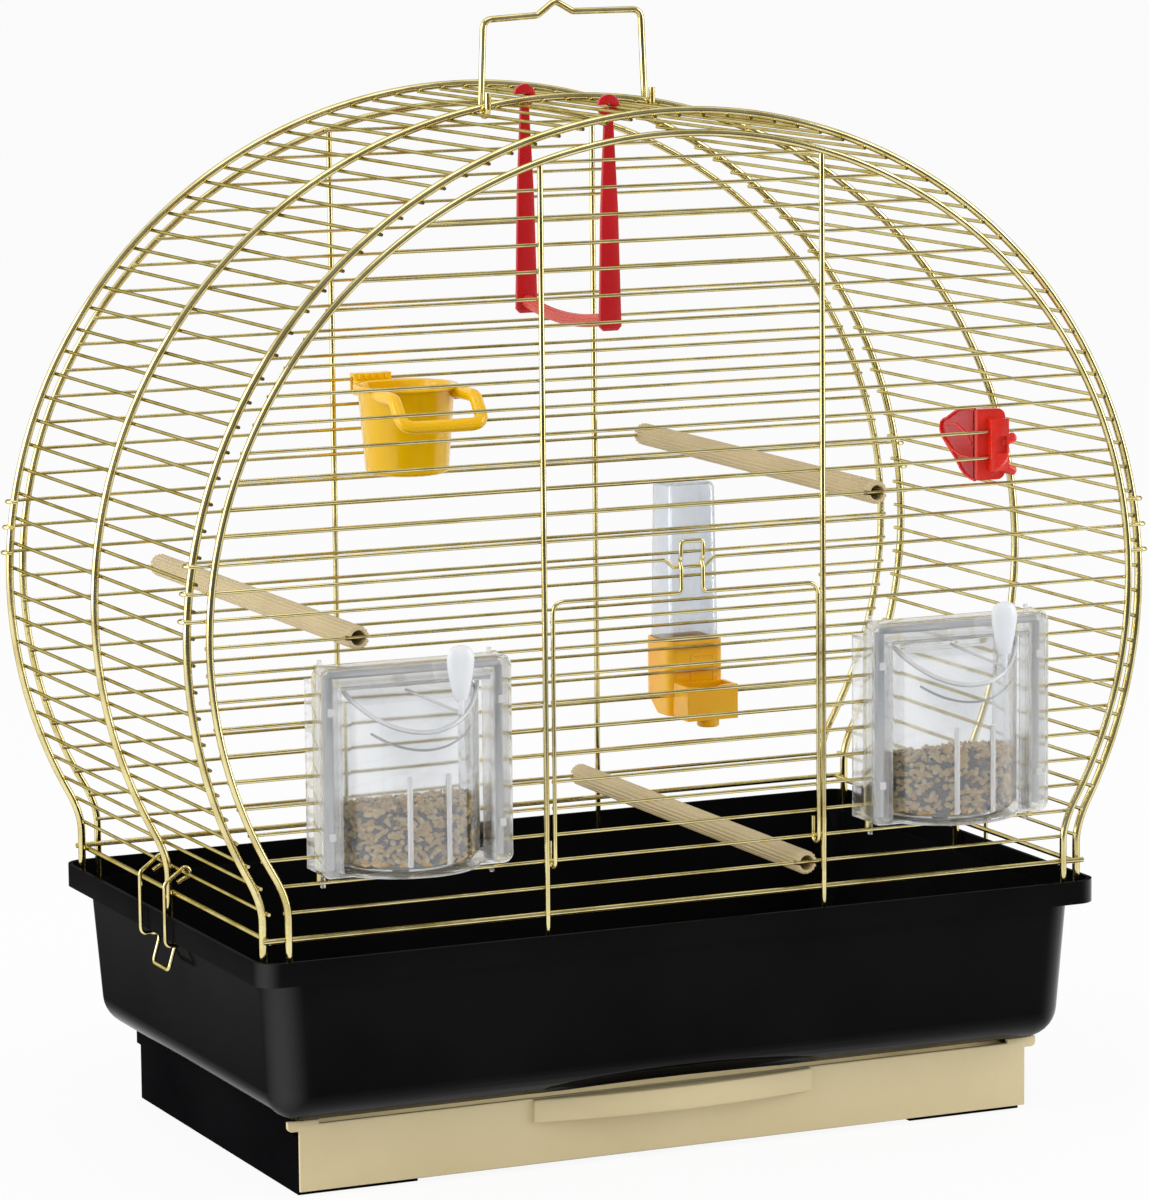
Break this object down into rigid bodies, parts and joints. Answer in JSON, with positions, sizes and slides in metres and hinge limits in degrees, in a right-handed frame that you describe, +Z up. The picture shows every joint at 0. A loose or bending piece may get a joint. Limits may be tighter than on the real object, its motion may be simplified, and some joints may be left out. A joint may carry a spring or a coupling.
{
  "type": "bird cage",
  "caption": "Arched wire bird cage with drop-down door, swivelling feeders, swing, perches, drinker, deep black tray and pull-out drawer, for keeping and carrying small birds.",
  "frame": {"origin": "centre of the flat underside of the drawer housing, on the surface the cage stands on", "axes": "+X to the right seen from the front, +Y to the back, +Z up; the door and the feeders face -Y"},
  "size_m": [0.5142, 0.3241, 0.5595],
  "materials": {
    "brass_wire": "bright plated wire",
    "base_black": "glossy moulded",
    "drawer_beige": "satin moulded",
    "perch_tan": "ribbed satin",
    "swing_red": "glossy moulded",
    "swing_perch_red": "ribbed, slightly translucent",
    "holder_red": "glossy moulded",
    "cup_yellow": "glossy moulded",
    "drinker_orange": "translucent moulded",
    "drinker_clear": "clear moulded",
    "feeder_clear": "clear moulded",
    "lever_milky": "milky moulded",
    "seed_mix": "loose mixed seeds"
  },
  "bodies": {
    "cage": {"tray_base": "base_black", "drawer_housing": "base_black", "barrel": "brass_wire", "front_panel": "brass_wire", "back_panel": "brass_wire", "cup": "cup_yellow", "clip_holder": "holder_red", "drinker_tube": "drinker_clear", "drinker_base": "drinker_orange", "perch_left": "perch_tan", "perch_upper": "perch_tan", "perch_lower": "perch_tan", "feeder_frame_left": "feeder_clear", "feeder_frame_right": "feeder_clear"},
    "drawer": {"drawer": "drawer_beige"},
    "door": {"door": "brass_wire"},
    "handle": {"handle": "brass_wire"},
    "swing": {"swing_arm_front": "swing_red", "swing_arm_rear": "swing_red", "swing_perch": "swing_perch_red"},
    "feeder_left": {"feeder_drum_left": "feeder_clear", "feeder_seed_left": "seed_mix", "feeder_lever_left": "lever_milky"},
    "side_clip_left": {"side_clip_left": "brass_wire"},
    "feeder_right": {"feeder_drum_right": "feeder_clear", "feeder_seed_right": "seed_mix", "feeder_lever_right": "lever_milky"},
    "side_clip_right": {"side_clip_right": "brass_wire"}
  },
  "joints": [
    {"name": "drawer_slide", "type": "slide", "parent": "cage", "child": "drawer", "axis": [0, -1, 0], "range_m": [0, 0.2]},
    {"name": "door_hinge", "type": "hinge", "parent": "cage", "child": "door", "pos_m": [0, -0.13185, 0.1555], "axis": [1, 0, 0], "range_deg": [0, 140]},
    {"name": "handle_hinge", "type": "hinge", "parent": "cage", "child": "handle", "pos_m": [0, 0, 0.5076], "axis": [1, 0, 0], "range_deg": [-75, 75]},
    {"name": "swing_hinge", "type": "hinge", "parent": "cage", "child": "swing", "pos_m": [0, 0, 0.5092], "axis": [0, 1, 0], "range_deg": [-35, 35]},
    {"name": "feeder_turn_left", "type": "hinge", "parent": "cage", "child": "feeder_left", "pos_m": [-0.1447, -0.12085, 0.161], "axis": [0, 0, -1], "range_deg": [0, 60]},
    {"name": "side_clip_left_hinge", "type": "hinge", "parent": "cage", "child": "side_clip_left", "pos_m": [-0.2158, 0, 0.1424], "axis": [0, 1, 0], "range_deg": [0, 80]},
    {"name": "feeder_turn_right", "type": "hinge", "parent": "cage", "child": "feeder_right", "pos_m": [0.1447, -0.12085, 0.161], "axis": [0, 0, -1], "range_deg": [0, 60]},
    {"name": "side_clip_right_hinge", "type": "hinge", "parent": "cage", "child": "side_clip_right", "pos_m": [0.2158, 0, 0.1424], "axis": [0, -1, 0], "range_deg": [0, 80]}
  ]
}
